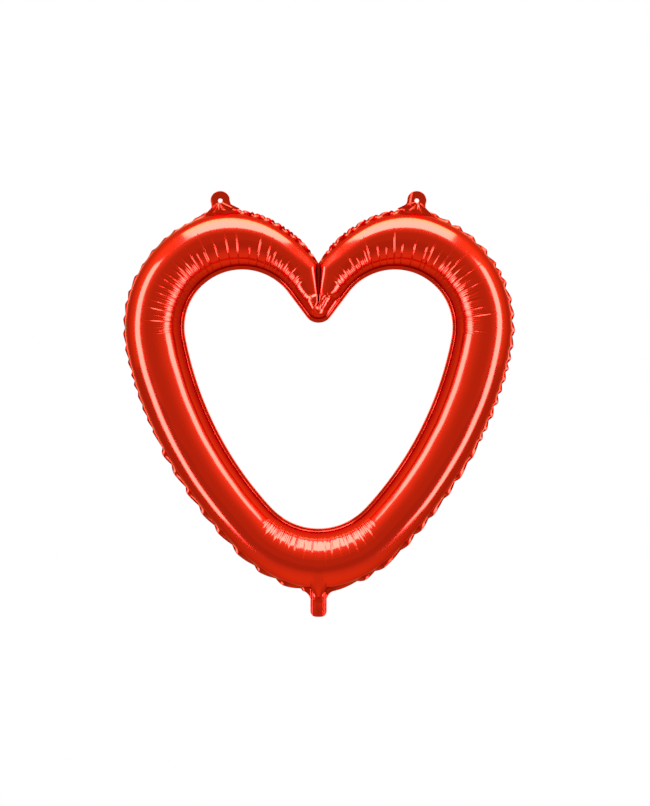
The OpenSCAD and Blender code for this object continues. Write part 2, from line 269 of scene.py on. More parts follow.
# The film's points round half the tube, from 0 at the inner seal to pi at the outer one
around = np.concatenate([[0.0, 0.015, 0.032, 0.055], np.linspace(0.1, np.pi, ACROSS - 3)])


def pleats(rng, start, end, pitch, depth, width, near, far):
    """Pleats of about one pitch from start to end along the tube: place, depth, half width, reach."""
    found = []
    place = start
    while place < end:
        found.append((
            place,
            depth * rng.uniform(0.6, 1.25),
            width * rng.uniform(0.85, 1.15),
            near * rng.uniform(0.7, 1.3),
            far * rng.uniform(0.82, 1.12),
        ))
        place += pitch * rng.uniform(0.75, 1.25)
    return found


# The bands of pleats in one half: start and end along the tube, pitch, depth, half width, and
# where they rise and run out round the tube, in degrees from the inner seal
PLEAT_BANDS = (
    (0.004, lobe_start_run, 0.0034, 0.00050, 0.0009, 24, 70),           # beside the cleft: fine
    (lobe_run(143), lobe_run(112), 0.0036, 0.00060, 0.0009, 24, 82),    # out of the cleft: fine
    (lobe_run(143), lobe_run(112), 0.0150, 0.00100, 0.0009, 14, 104),   # and a few long ones
    (lobe_run(112), lobe_run(64), 0.0180, 0.00120, 0.0008, 9, 112),     # the lobe's top: broad
    (lobe_run(54), lobe_run(-6), 0.0040, 0.00060, 0.0008, 26, 98),      # down the lobe: fine
    (lobe_run(66), lobe_run(4), 0.0120, 0.00125, 0.0008, 16, 112),      # and long ones
    (bottom_run(-47), point_run, 0.0038, 0.00055, 0.0010, 30, 72),      # round the bottom: fine
    (bottom_run(-52), point_run, 0.0150, 0.00120, 0.0012, 30, 94),      # and long ones
)


def half_pleats(seed):
    """All the pleats of one half of the tube, band by band."""
    rng = np.random.default_rng(seed)
    found = []
    for band in PLEAT_BANDS:
        found += pleats(rng, *band)
    return found


def pleat_field(found, mirror):
    """How far the foil is drawn in at every point of the grid, as sharp valleys along the cuts."""
    drawn_in = np.zeros((len(heart), ACROSS + 1))
    angle = np.degrees(around)
    for place, depth, width, near, far in found:
        away = np.abs(run - (run_total - place if mirror else place))
        close = np.nonzero(away < 4 * width)[0]
        valley = np.exp(-((away[close] / width) ** 1.5))
        reach = smooth((angle - near * 0.6) / near) * smooth((far - angle) / (far * 0.35))
        drawn_in[close] += depth * valley[:, None] * reach[None, :]
    return drawn_in


WAVE_COUNT = 9
WAVE_SHORTEST, WAVE_LONGEST = 0.05, 0.22       # from crest to crest, along the tube
WAVE_HEIGHT = 0.00055


def slow_waves(rng):
    """A gentle unevenness of the blown film, from a few long waves along and across it."""
    field = np.zeros((len(heart), ACROSS + 1))
    for _ in range(WAVE_COUNT):
        turns = round(run_total / rng.uniform(WAVE_SHORTEST, WAVE_LONGEST))
        phase, lean = rng.uniform(0, 2 * np.pi, 2)
        along = 2 * np.pi * turns * run[:, None] / run_total
        across = np.cos(around[None, :] * 1.5 + lean)
        field += WAVE_HEIGHT * rng.uniform(0.4, 1) * np.sin(along + phase) * across
    return field * np.sin(around)[None, :] ** 0.5 / math.sqrt(WAVE_COUNT)


CRUMPLE_FOLDS = 7
CRUMPLE_HALF_W, CRUMPLE_HALF_H = 0.025, 0.014
CRUMPLE_X, CRUMPLE_DROP = 0.002, 0.006         # its middle: a little to the right, and below the notch
CRUMPLE_SPREAD = 0.014      # how far from its middle the folds lie
CRUMPLE_SLOPES = (0.15, 0.36)
CRUMPLE_LEVEL = 0.007       # how far from its fold a facet crosses the film's own surface
CRUMPLE_DEPTH = 0.004


def crumple(points, seed):
    """Sharp facets where the lobes' pleats meet over the cleft's tip, as a sum of folds."""
    rng = np.random.default_rng(seed)
    offset = points - np.array([CRUMPLE_X, notch_z - CRUMPLE_DROP])
    close = np.exp(-((offset[..., 0] / CRUMPLE_HALF_W) ** 4 + (offset[..., 1] / CRUMPLE_HALF_H) ** 4))
    field = np.zeros(points.shape[:2])
    for _ in range(CRUMPLE_FOLDS):
        turn = rng.uniform(0, np.pi)
        place = rng.uniform(-CRUMPLE_SPREAD, CRUMPLE_SPREAD)
        along = offset[..., 0] * math.cos(turn) + offset[..., 1] * math.sin(turn) - place
        slope = rng.uniform(*CRUMPLE_SLOPES) * rng.choice([-1, 1])
        field += slope * (np.abs(along) - CRUMPLE_LEVEL)
    return np.clip(field * close, -CRUMPLE_DEPTH, CRUMPLE_DEPTH)


# The outer seal's folds pull on the film's edge, so they are settled here: how steeply the
# seal leans at each cut, and how far that moves the seam
TAB_SHIFT = 0.0361          # how far outward of its lobe's centre each hanging tab is
TAB_HOLDS = 0.034           # how far along the seal a tab holds it flat, to either side
TAB_HOLD = 0.85             # how flat it holds it
SEAM_SHIFT = 0.0011         # how far a lean of one radian moves the seam
PUCKER_DEPTH = 0.0009


def ruffle(seed):
    """The outer seal's lean from the heart's plane, in radians, at each cut. It swings both ways."""
    rng = np.random.default_rng(seed)
    knots, leans = [0.0], [0.0]
    place, sign = 0.004, 1
    while place < run_total - 0.004:
        # The folds change in bands down each side: how long they are, and how they lean
        position = min(place, run_total - place)
        from_point = abs(place - point_run)
        left = place > point_run
        if from_point < 0.018:
            pitch, swing, mean = 0.006, 0.25, 0.0
        elif position < lobe_run(80):
            pitch, swing, mean = 0.0082, 0.85, 0.05
        elif position < lobe_run(28):
            pitch, swing, mean = 0.0085, 0.25 if left else 0.50, 1.20 if left else 0.85
        elif position < side_middle_run:
            pitch, swing, mean = 0.0090, 0.28 if left else 0.50, 1.00 if left else 0.75
        else:
            pitch, swing, mean = 0.0170, 0.55, 0.65
        step = pitch * rng.uniform(0.7, 1.35) * (1.3 if sign > 0 else 0.7)
        knots.append(place)
        leans.append(mean + sign * swing * rng.uniform(0.6, 1.15))
        place += step
        sign = -sign
    knots.append(run_total)
    leans.append(0.0)
    return np.interp(run, knots, leans)


def near_tab(half_span):
    """1 at the middle of either hanging tab's foot, falling to 0 at half_span away."""
    seal_edge_r = WINDOW_LOBE_R + INNER_SEAL + TUBE_LOBE + OUTER_SEAL
    foot_run = lobe_run(90 - math.degrees(math.asin(TAB_SHIFT / seal_edge_r)))
    away = np.minimum(np.abs(run - foot_run), np.abs(run_total - run - foot_run))
    return smooth(1.4 - 1.4 * away / half_span)


# The seal lies flat under the tabs, beside the neck, and where the lobes are pressed together
seal_lean = ruffle(3) * (1 - TAB_HOLD * near_tab(TAB_HOLDS))
seal_lean *= smooth((np.abs(run - point_run) - 0.012) / 0.012)
seal_lean *= smooth((from_tip - lobe_run(141)) / 0.018)
seam_shift = (SEAM_SHIFT * seal_lean * smooth((from_tip - 0.04) / 0.05))[:, None]
seam_pull = smooth((np.degrees(around) - 138) / 42)[None, :]

drawn_in = pleat_field(half_pleats(5), False) + pleat_field(half_pleats(8), True)
drawn_in_back = pleat_field(half_pleats(15), False) + pleat_field(half_pleats(18), True)
# Each sharp fold of the seal puckers the film beside it
fold_sharpness = np.abs(np.gradient(np.gradient(seal_lean)))
pucker = (PUCKER_DEPTH * fold_sharpness / fold_sharpness.max())[:, None]
pucker = pucker * smooth((np.degrees(around) - 140) / 30)


# The neck's own surface, which the tube's bulge runs out on. Both films stand a little apart
NECK_SEAL_W = 0.003
NECK_TOP = -0.300
FILM_GAP = 0.0002           # what keeps two films apart where one lies on the other
NECK_CROWN = 0.0022         # how far each film stands out in the middle of the neck
CROWN_TOP = 0.0034          # how much further it does at the top
CROWN_END = 0.0004          # how much less it does at the lower edge
RIB_HEIGHT, RIB_PITCH = 0.00016, 0.0062
NICK_HEIGHT, NICK_HALF, NICK_LENGTH = 0.0005, 0.0009, 0.0030      # a short slanting crease
NICK_X, NICK_Z = 0.0065, -0.3240
neck_half_film = NECK_W / 2 - NECK_SEAL_W


def neck_stand(x, z):
    """How far a neck film stands off the heart's plane: most at the top, least at the fold."""
    up = (z - neck_low) / (NECK_TOP - neck_low)
    crown = NECK_CROWN + CROWN_TOP * smooth((up - 0.45) / 0.55) - CROWN_END * smooth(1 - up / 0.35)
    across = np.clip(np.abs(x) / neck_half_film, 0, 1)
    ribs = RIB_HEIGHT * np.sin(x * 2 * np.pi / RIB_PITCH + 0.9 + 40 * (z + 0.33)) * (1 - across**2)
    nick = NICK_HEIGHT * np.exp(-(((z - NICK_Z - 0.5 * (x - NICK_X)) / NICK_HALF) ** 2))
    nick = nick * smooth(1.6 - np.abs(x - NICK_X) / NICK_LENGTH)
    return SEAL_HALF + FILM_GAP + (crown * np.cos(across * np.pi / 2) ** 1.5 + ribs) + nick


def sections():
    """Every cut's outline, as shares of the tube's width and half depth, in steps of even length."""
    pressed = smooth((lobe_run(126) - from_tip) / lobe_run(126)) * smooth((from_tip + 0.010) / 0.024)
    power = 2 / mix(2.0, PRESSED, pressed)[:, None]
    turn = np.linspace(0, np.pi, 361)[None, :]
    inner = turn <= np.pi / 2
    crown = (1 + CROWN_SHIFT) / 2
    along = np.abs(np.cos(turn))
    fine_reach = np.where(inner, crown * (1 - along), crown + (1 - crown) * along**power)
    fine_depth = np.where(inner, np.sin(turn), np.abs(np.sin(turn)) ** power)
    fine_depth = fine_depth * smooth(fine_reach * tube_w / SEAL_FILLET + 0.05)
    step = np.hypot(np.diff(fine_reach) * tube_w, np.diff(fine_depth) * half_depth)
    length = np.hstack([np.zeros((len(run), 1)), np.cumsum(step, 1)])
    reach_share = np.empty((len(run), ACROSS + 1))
    depth_share = np.empty((len(run), ACROSS + 1))
    for i, travelled in enumerate(length):
        wanted = travelled[-1] * around / np.pi
        reach_share[i] = np.interp(wanted, travelled, fine_reach[i])
        depth_share[i] = np.interp(wanted, travelled, fine_depth[i])
    depth_share[:, 0] = depth_share[:, -1] = 0
    return reach_share, depth_share


def film_points(side, drawn_in, waves, crumple_seed):
    """One foil panel's closed loop of points at every cut: outer surface, then inner surface."""
    reach_share, depth_share = sections()
    into_neck = smooth((reach_share - BULGE_FROM) / (1 - BULGE_FROM))
    reach = inner_w + tube_w * reach_share + neck_bulge * into_neck
    end_x = edge_xz[:, :1] + out_xz[:, :1] * seam_reach
    end_z = edge_xz[:, 1:] + out_xz[:, 1:] * seam_reach
    in_neck = (np.abs(end_x) < NECK_W / 2) & (end_z < bottom_centre[1])
    stand = np.where(in_neck, neck_stand(end_x, end_z) + FILM_GAP, SEAL_HALF)
    depth = SEAL_HALF + (stand - SEAL_HALF) * reach_share**3 + half_depth * depth_share
    normal_reach = -np.gradient(depth, axis=1)
    normal_depth = np.gradient(reach, axis=1)
    length = np.sqrt(normal_reach**2 + normal_depth**2)
    normal_reach, normal_depth = normal_reach / length, normal_depth / length
    flat = edge_xz[:, None, :] + out_xz[:, None, :] * reach[..., None]
    rise = waves - drawn_in - pucker * np.sin(around)[None, :] ** 0.3 + crumple(flat, crumple_seed)
    rise[:, 0] = rise[:, -1] = 0
    reach = reach + rise * normal_reach
    depth = np.maximum(depth + rise * normal_depth, SEAL_HALF)

    picks = np.array(INSIDE_PICKS)
    in_reach = (reach - FILM * normal_reach)[:, picks]
    in_depth = np.maximum(depth - FILM * normal_depth, SEAL_HALF)[:, picks]
    all_reach = np.hstack([reach, in_reach])
    all_depth = np.hstack([depth, in_depth])
    shift = seam_shift * np.hstack([seam_pull, seam_pull[:, picks]])
    x = edge_xz[:, :1] + out_xz[:, :1] * all_reach
    z = edge_xz[:, 1:] + out_xz[:, 1:] * all_reach
    return np.stack([x, side * all_depth + shift, z], -1)


def skin(name, points, ring=True, flip=False):
    """A mesh object skinned over loops of points, closed round the ring or capped at both ends."""
    count, size = points.shape[:2]
    mesh = bpy.data.meshes.new(name)
    along = np.arange(count if ring else count - 1)
    loop, ahead = along[:, None] * size, ((along + 1) % count)[:, None] * size
    point = np.arange(size)[None, :]
    beside = (point + 1) % size
    quads = np.stack([loop + point, loop + beside, ahead + beside, ahead + point], -1).reshape(-1, 4)
    place = np.stack(np.broadcast_arrays(along[:, None], point), -1).reshape(-1, 2)
    corner = np.array([[0, 0], [0, 1], [1, 1], [1, 0]])
    uv = (place[:, None, :] + corner[None]) / np.array([count, size])
    if not ring:
        half = size // 2
        j = np.arange(half - 1)
        low = np.stack([j, size - 1 - j, size - 2 - j, j + 1], 1)
        high = low[:, ::-1] + (count - 1) * size
        caps = np.vstack([low, high])
        quads = np.vstack([quads, caps])
        uv = np.vstack([uv, np.zeros((len(caps), 4, 2))])
    if flip:
        quads, uv = quads[:, ::-1], uv[:, ::-1]
    mesh.from_pydata(points.reshape(-1, 3).tolist(), [], quads.tolist())
    layer = mesh.uv_layers.new(name="along_tube")
    layer.data.foreach_set("uv", uv.reshape(-1).astype(np.float32))
    mesh.polygons.foreach_set("use_smooth", np.ones(len(mesh.polygons), bool))
    mesh.update()
    piece = bpy.data.objects.new(name, mesh)
    bpy.context.scene.collection.objects.link(piece)
    return piece


rng_film = np.random.default_rng(11)
front_waves, back_waves = slow_waves(rng_film), slow_waves(rng_film)
front_foil = skin("front_foil", film_points(-1, drawn_in, front_waves, 21))
back_foil = skin("back_foil", film_points(1, drawn_in_back, back_waves, 22), flip=True)


def sockets(group, inputs, outputs):
    """Gives a node group its named number inputs, each with a usual value, and its outputs."""
    for name, value in inputs:
        made = group.interface.new_socket(name=name, in_out="INPUT", socket_type="NodeSocketFloat")
        made.default_value = value
    for name in outputs:
        group.interface.new_socket(name=name, in_out="OUTPUT", socket_type="NodeSocketFloat")


def film_grain_group():
    """The film's fine surface: soft dimples and short creases as a height, and rub marks as a mask."""
    group = bpy.data.node_groups.new("film_grain", "ShaderNodeTree")
    sockets(group, [("Dimples", 60.0), ("Creases", 35.0), ("Crease share", 0.5)], ["Height", "Rubbed"])
    nodes, links = group.nodes, group.links
    start, end = nodes.new("NodeGroupInput"), nodes.new("NodeGroupOutput")
    place = nodes.new("ShaderNodeTexCoord")
    soft = nodes.new("ShaderNodeTexNoise")
    soft.inputs["Detail"].default_value = 2
    links.new(place.outputs["Object"], soft.inputs["Vector"])
    links.new(start.outputs["Dimples"], soft.inputs["Scale"])
    fold = nodes.new("ShaderNodeTexVoronoi")
    fold.feature = "DISTANCE_TO_EDGE"
    links.new(place.outputs["Object"], fold.inputs["Vector"])
    links.new(start.outputs["Creases"], fold.inputs["Scale"])
    sharp = nodes.new("ShaderNodeMapRange")
    sharp.inputs["From Max"].default_value = 0.05
    links.new(fold.outputs["Distance"], sharp.inputs["Value"])
    height = nodes.new("ShaderNodeMix")
    links.new(start.outputs["Crease share"], height.inputs["Factor"])
    links.new(soft.outputs["Fac"], height.inputs["A"])
    links.new(sharp.outputs["Result"], height.inputs["B"])
    rub = nodes.new("ShaderNodeTexNoise")
    rub.inputs["Scale"].default_value = 14
    rub.inputs["Detail"].default_value = 5
    rub.inputs["Roughness"].default_value = 0.65
    links.new(place.outputs["Object"], rub.inputs["Vector"])
    links.new(height.outputs["Result"], end.inputs["Height"])
    links.new(rub.outputs["Fac"], end.inputs["Rubbed"])
    return group


film_grain = film_grain_group()
FOIL_RED = (0.76, 0.024, 0.0036)
FOIL_RED_WORN = (0.73, 0.021, 0.003)
# The seals are the same film as the tube, but get a darker red: painted shade on every seal
SHADED_SEAL_RED = (0.56, 0.020, 0.002)
SHADED_SEAL_RED_WORN = (0.48, 0.015, 0.0015)
FOIL_EDGE = (1.0, 0.45, 0.10)       # the lacquer's tint in a glancing reflection
FOIL_COAT, FOIL_COAT_ROUGH = 0.05, 0.14
FOLD_LINE_RISE = 0.00014
FOLD_LINE_POINT = 18.6      # where it runs, counted in the film's points out from the inner seal
FOLD_LINE_DOTS = 700


def film_material(name, tints, scales, rubbed_range, rough_range, relief_height, relief_share=1.0):
    """A film's material with the grain in its colour, roughness and relief, and its relief node."""
    material = bpy.data.materials.new(name)
    material.use_nodes = True
    nodes, links = material.node_tree.nodes, material.node_tree.links
    shader = nodes["Principled BSDF"]
    grain = nodes.new("ShaderNodeGroup")
    grain.node_tree = film_grain
    for key, value in zip(("Dimples", "Creases", "Crease share"), scales):
        grain.inputs[key].default_value = value
    tint = nodes.new("ShaderNodeMix")
    tint.data_type = "RGBA"
    tint.inputs["A"].default_value = (*tints[0], 1)
    tint.inputs["B"].default_value = (*tints[1], 1)
    links.new(grain.outputs["Rubbed"], tint.inputs["Factor"])
    links.new(tint.outputs["Result"], shader.inputs["Base Color"])
    rough = nodes.new("ShaderNodeMapRange")
    for key, value in zip(("From Min", "From Max", "To Min", "To Max"), (*rubbed_range, *rough_range)):
        rough.inputs[key].default_value = value
    links.new(grain.outputs["Rubbed"], rough.inputs["Value"])
    links.new(rough.outputs["Result"], shader.inputs["Roughness"])
    relief = nodes.new("ShaderNodeBump")
    relief.inputs["Strength"].default_value = relief_share
    relief.inputs["Distance"].default_value = relief_height
    links.new(grain.outputs["Height"], relief.inputs["Height"])
    links.new(relief.outputs["Normal"], shader.inputs["Normal"])
    return material, relief


def foil_material(name, reds, scales, rough_range, relief_height):
    """Red lacquer over bright metal: mirror-like, a little uneven, clear-coated."""
    material, relief = film_material(name, reds, scales, (0.3, 0.7), rough_range, relief_height)
    shader = material.node_tree.nodes["Principled BSDF"]
    shader.inputs["Metallic"].default_value = 1.0
    shader.inputs["Specular Tint"].default_value = (*FOIL_EDGE, 1)
    shader.inputs["Coat Weight"].default_value = FOIL_COAT
    shader.inputs["Coat Roughness"].default_value = FOIL_COAT_ROUGH
    return material, relief


def fold_line_group():
    """A faint dotted line that runs along the tube where the pleats end, as a height."""
    group = bpy.data.node_groups.new("fold_line", "ShaderNodeTree")
    sockets(group, [("Place", 0.5), ("Dots", 500.0)], ["Height"])
    nodes, links = group.nodes, group.links
    start, end = nodes.new("NodeGroupInput"), nodes.new("NodeGroupOutput")
    place = nodes.new("ShaderNodeUVMap")
    place.uv_map = "along_tube"
    split = nodes.new("ShaderNodeSeparateXYZ")
    links.new(place.outputs["UV"], split.inputs[0])
    away = nodes.new("ShaderNodeMath")
    away.operation = "SUBTRACT"
    links.new(split.outputs["Y"], away.inputs[0])
    links.new(start.outputs["Place"], away.inputs[1])
    near = nodes.new("ShaderNodeMath")
    near.operation = "ABSOLUTE"
    links.new(away.outputs[0], near.inputs[0])
    pulse = nodes.new("ShaderNodeMapRange")
    pulse.interpolation_type = "SMOOTHSTEP"
    pulse.inputs["From Max"].default_value = 0.005
    pulse.inputs["To Min"].default_value = 1.0
    pulse.inputs["To Max"].default_value = 0.0
    links.new(near.outputs[0], pulse.inputs["Value"])
    dots = nodes.new("ShaderNodeTexNoise")
    dots.noise_dimensions = "1D"
    links.new(split.outputs["X"], dots.inputs["W"])
    links.new(start.outputs["Dots"], dots.inputs["Scale"])
    height = nodes.new("ShaderNodeMath")
    height.operation = "MULTIPLY"
    links.new(pulse.outputs["Result"], height.inputs[0])
    links.new(dots.outputs["Fac"], height.inputs[1])
    links.new(height.outputs[0], end.inputs["Height"])
    return group


foil, foil_relief = foil_material(
    "red_foil",
    (FOIL_RED, FOIL_RED_WORN),
    scales=(22, 60, 0.01),
    rough_range=(0.11, 0.15),
    relief_height=0.0003,
)
foil_nodes, foil_links = foil.node_tree.nodes, foil.node_tree.links
line = foil_nodes.new("ShaderNodeGroup")
line.node_tree = fold_line_group()
line.inputs["Place"].default_value = FOLD_LINE_POINT / (ACROSS + 1 + len(INSIDE_PICKS))
line.inputs["Dots"].default_value = FOLD_LINE_DOTS
ridge = foil_nodes.new("ShaderNodeBump")
ridge.inputs["Distance"].default_value = FOLD_LINE_RISE
foil_links.new(line.outputs["Height"], ridge.inputs["Height"])
foil_links.new(foil_relief.outputs["Normal"], ridge.inputs["Normal"])
foil_links.new(ridge.outputs["Normal"], foil_nodes["Principled BSDF"].inputs["Normal"])
for film, node in ((front_foil, "front_film"), (back_foil, "back_film")):
    film.data.materials.append(foil)
    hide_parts(node)
    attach(film, "balloon")

# ---------------------------------------------------------------------------------------
# The two heat seals. The inner one is a flat dark band round the window. The outer one has
# more length than the blown heart has room for, so it stands in sharp folds all the way.
# The seal finishes take the darker seal red, which is painted shade
seal_foil, _ = foil_material(
    "sealed_foil",
    (SHADED_SEAL_RED, SHADED_SEAL_RED_WORN),
    scales=(60, 90, 0.06),
    rough_range=(0.18, 0.26),
    relief_height=0.00007,
)
window_seal_foil, _ = foil_material(
    "window_seal_foil",
    (FOIL_RED, SHADED_SEAL_RED),
    scales=(24, 60, 0.0),
    rough_range=(0.12, 0.16),
    relief_height=0.00004,
)
# The seal's points across its width, as shares of it: close together where the bead stands
SEAL_SHARES = np.array([0, 0.07, 0.13, 0.19, 0.25, 0.32, 0.5, 0.75, 1])[None, :]
WINDOW_BEAD = 0.00070       # how far the film is pressed up beside the window's seal
BEAD_PLACE, BEAD_HALF = 0.19, 0.09
SEAL_CURL = 3.0             # how much of a seal's lean comes close to the tube
NECK_FILLET, NECK_FILLET_W = 0.008, 0.010      # how far the seal widens beside the neck


def seal_points(start, width, lean, shift, bead=0.0):
    """A seal as closed loops: out along one face, back along the other."""
    half = SEAL_HALF + bead * np.exp(-(((SEAL_SHARES - BEAD_PLACE) / BEAD_HALF) ** 2))
    out = width * SEAL_SHARES
    curl = lean * (1 - np.exp(-SEAL_CURL * SEAL_SHARES)) / (1 - math.exp(-SEAL_CURL))
    reach = start + out * np.cos(curl)
    rise = shift + out * np.sin(curl)
    loop_reach = np.hstack([reach + half * np.sin(curl), (reach - half * np.sin(curl))[:, ::-1]])
    loop_y = np.hstack([rise - half * np.cos(curl), (rise + half * np.cos(curl))[:, ::-1]])
    x = edge_xz[:, :1] + out_xz[:, :1] * loop_reach
    z = edge_xz[:, 1:] + out_xz[:, 1:] * loop_reach
    return np.stack([x, loop_y, z], -1)


rng_seal = np.random.default_rng(31)
flat_knots = np.arange(0, run_total, 0.021)
window_lean = np.interp(run, flat_knots, rng_seal.uniform(-0.07, 0.07, len(flat_knots)), period=run_total)
inner_seal = skin(
    "inner_seal",
    seal_points(inner_w, -inner_w, window_lean[:, None], np.zeros((len(heart), 1)), WINDOW_BEAD),
    flip=True,
)
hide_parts("inner_seam")

# Near the neck the outer seal widens in a fillet, and it stops inside the neck's sides
bottom_x = np.abs(edge_xz[:, :1] + out_xz[:, :1] * seam_reach)
from_neck = (bottom_x - NECK_W / 2) / NECK_FILLET_W
at_bottom = edge_xz[:, 1:] < bottom_centre[1]
fillet = np.where(at_bottom & (from_neck > -0.4), NECK_FILLET * (1 - np.clip(from_neck, 0, 1)) ** 2, 0)
neck_cuts = np.nonzero((at_bottom & (bottom_x < NECK_W / 2 - 0.002)).ravel())[0]
open_ring = np.roll(np.arange(len(heart)), -(neck_cuts.max() + 1))[: len(heart) - len(neck_cuts)]
outer_points = seal_points(seam_reach, outer_w + fillet, seal_lean[:, None], seam_shift)
outer_seal = skin("outer_seal", outer_points[open_ring], ring=False)
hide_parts("outer_seam")
for seal, finish in ((inner_seal, window_seal_foil), (outer_seal, seal_foil)):
    seal.data.materials.append(finish)
    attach(seal, "balloon")

# ---------------------------------------------------------------------------------------
# The two hanging tabs: tongues of sealed foil on the tops of the lobes, each with a punched
# hole and a few creases from its foot to the hole. Each is drawn flat, its foot on the line it would fold
# along.
TAB_W = 0.032
TAB_THICK = 0.0005
TAB_HOLE_R = 0.0035
TAB_FOOT_HALF = 0.92 * TAB_W
TAB_ROOT = 0.0075           # how far the tab runs down over the seal, below its fold
TAB_RINGS = 24
TAB_SPOKES = 180
CREASE_SIGNS = (-1, 1, -1, -1, 1, -1)          # which way each crease of the fan stands
CREASE_FIRST, CREASE_STEP = -56, 21            # their angles from straight down, in degrees
CREASE_RISES = (0.0008, 0.0014)
CREASE_HALF = 0.0016
CREASE_APART = 0.002        # the most that a leaning crease points past the hole's middle
CREASE_START, CREASE_GROWS = 0.002, 0.004      # how far below the hole's middle they start, and grow
TAB_CURL = 0.0022           # how far the tab's left edge curls forward
CURL_FROM, CURL_W = 0.0095, 0.0065             # how far from the tab's middle it starts, and how wide it is
TAB_WAVE, TAB_WAVE_RUN = 0.0004, 0.006         # a slow wave from side to side
joints = {joint["name"]: joint for joint in frame["joints"]}


def tab_outline(hole, foot_mid, foot_dir, up):
    """The tab's edge seen from its hole: a round head, slightly hollow sides and a broad foot."""
    rise = float(np.dot(hole - foot_mid, up)) + TAB_ROOT
    head = TAB_W / 2
    edges = []
    for direction in spot(np.linspace(-90, 270, TAB_SPOKES, endpoint=False)):
        along, over = float(np.dot(direction, foot_dir)), float(np.dot(direction, up))
        if over >= 0:
            reach = head
        else:
            reach_foot = rise / max(-over, 1e-6)
            drop = np.linspace(0, rise, 160)
            half = head + (TAB_FOOT_HALF - head) * smooth((drop - rise * 0.32) / (rise * 0.68)) ** 1.3
            drops_at = drop / max(-over, 1e-6)
            inside = np.abs(along) * drops_at <= half
            reach = min(reach_foot, drops_at[inside].max())
            reach = max(reach, head * 0.98) if over > -0.3 else reach
        edges.append(hole + direction * reach)
    return np.array(edges)


def tab_relief(height, side, hole_height, seed):
    """How far the tab's film stands out: creases fan from the hole to the foot, and an edge curls."""
    rng = np.random.default_rng(seed)
    rise = np.zeros(height.shape)
    below_hole = smooth((hole_height - height - CREASE_START) / CREASE_GROWS)
    for crease, sign in enumerate(CREASE_SIGNS):
        lean = math.radians(CREASE_FIRST + CREASE_STEP * crease + rng.uniform(-6, 6))
        beside = side + CREASE_APART * math.sin(lean)
        away = beside * math.cos(lean) - (hole_height - height) * math.sin(lean)
        rise += sign * rng.uniform(*CREASE_RISES) * np.exp(-np.abs(away) / CREASE_HALF) * below_hole
    rise -= TAB_CURL * smooth((-side - CURL_FROM) / CURL_W) * smooth((height + 0.002) / 0.006)
    rise += TAB_WAVE * np.sin(side / TAB_WAVE_RUN + seed) * smooth(height / 0.02)
    # The tab's root stays flat, where it is fused to the seal
    return rise * smooth((height + 0.0078) / 0.006)


def tab(name, node, joint_name, seed):
    """A tab as rings of points from its hole out to its edge, front face then back face."""
    joint = joints[joint_name]
    foot_mid = np.array([joint["pos_m"][0], joint["pos_m"][2]])
    foot_dir = np.array([joint["axis"][0], joint["axis"][2]])
    up = np.array([-foot_dir[1], foot_dir[0]])
    hole = np.array([foot_mid[0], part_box(node)[1].z - TAB_W / 2])
    outline = tab_outline(hole, foot_mid, foot_dir, up)
    ray = outline - hole
    rim = hole + ray / np.hypot(ray[:, 0], ray[:, 1])[:, None] * TAB_HOLE_R
    share = np.linspace(0, 1, TAB_RINGS + 1) ** 0.9
    flat = rim[:, None, :] + (outline - rim)[:, None, :] * share[None, :, None]
    height = np.einsum("ijk,k->ij", flat - foot_mid, up)
    side = np.einsum("ijk,k->ij", flat - foot_mid, foot_dir)
    rise = tab_relief(height, side, float(np.dot(hole - foot_mid, up)), seed)
    front = np.stack([flat[..., 0], rise - TAB_THICK / 2, flat[..., 1]], -1)
    back = np.stack([flat[..., 0], rise + TAB_THICK / 2, flat[..., 1]], -1)
    piece = skin(name, np.concatenate([front, back[:, ::-1]], 1), flip=True)
    piece.data.materials.append(seal_foil)
    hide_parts(node)
    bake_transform(piece)


tab("left_hang_tab", "left_tab", "left_tab_fold", 41)
tab("right_hang_tab", "right_tab", "right_tab_fold", 44)

# ---------------------------------------------------------------------------------------
# The neck: a flat channel of both films, sealed along its sides, that air is blown in by.
# It hangs from the heart's point and is drawn unfolded; its fold line lies just under the tube's last
# bulge.
NECK_ROWS = 40
NECK_COLUMNS = 24
NECK_CORNER = 0.008
NECK_BOW = 0.0015           # how much lower its end is in the middle than at the corners
NECK_LAP = 0.0003           # how far each film runs over the side seals
NECK_SEAL_HALF = SEAL_HALF + 0.0001
NECK_SEAL_WAVE, NECK_SEAL_WAVE_RUN = 0.0004, 0.0045


def neck_end(x):
    """The height of the neck's lower edge, which bows down a little between round corners."""
    past = np.clip(np.abs(x) - (NECK_W / 2 - NECK_CORNER), 0, NECK_CORNER)
    bow = NECK_BOW * (2 * x / NECK_W) ** 2
    return neck_low + bow + NECK_CORNER - np.sqrt(NECK_CORNER**2 - past**2)


def neck_grid(x_low, x_high, columns):
    """Rows of x and z from the neck's top down to its lower edge."""
    x = np.linspace(x_low, x_high, columns + 1)[None, :]
    share = np.linspace(0, 1, NECK_ROWS + 1)[:, None]
    z = NECK_TOP + (neck_end(x) - NECK_TOP) * share
    return np.broadcast_to(x, z.shape), z


def neck_film(name, side, node):
    """One of the neck's two films, which stand apart so that air can pass."""
    x, z = neck_grid(-neck_half_film - NECK_LAP, neck_half_film + NECK_LAP, NECK_COLUMNS)
    stand = neck_stand(x, z)
    outside = np.stack([x, side * stand, z], -1)
    inside = np.stack([x, side * (stand - FILM), z], -1)
    piece = skin(name, np.concatenate([outside, inside[:, ::-1]], 1), ring=False, flip=side < 0)
    piece.data.materials.append(foil)
    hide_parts(node)
    return piece


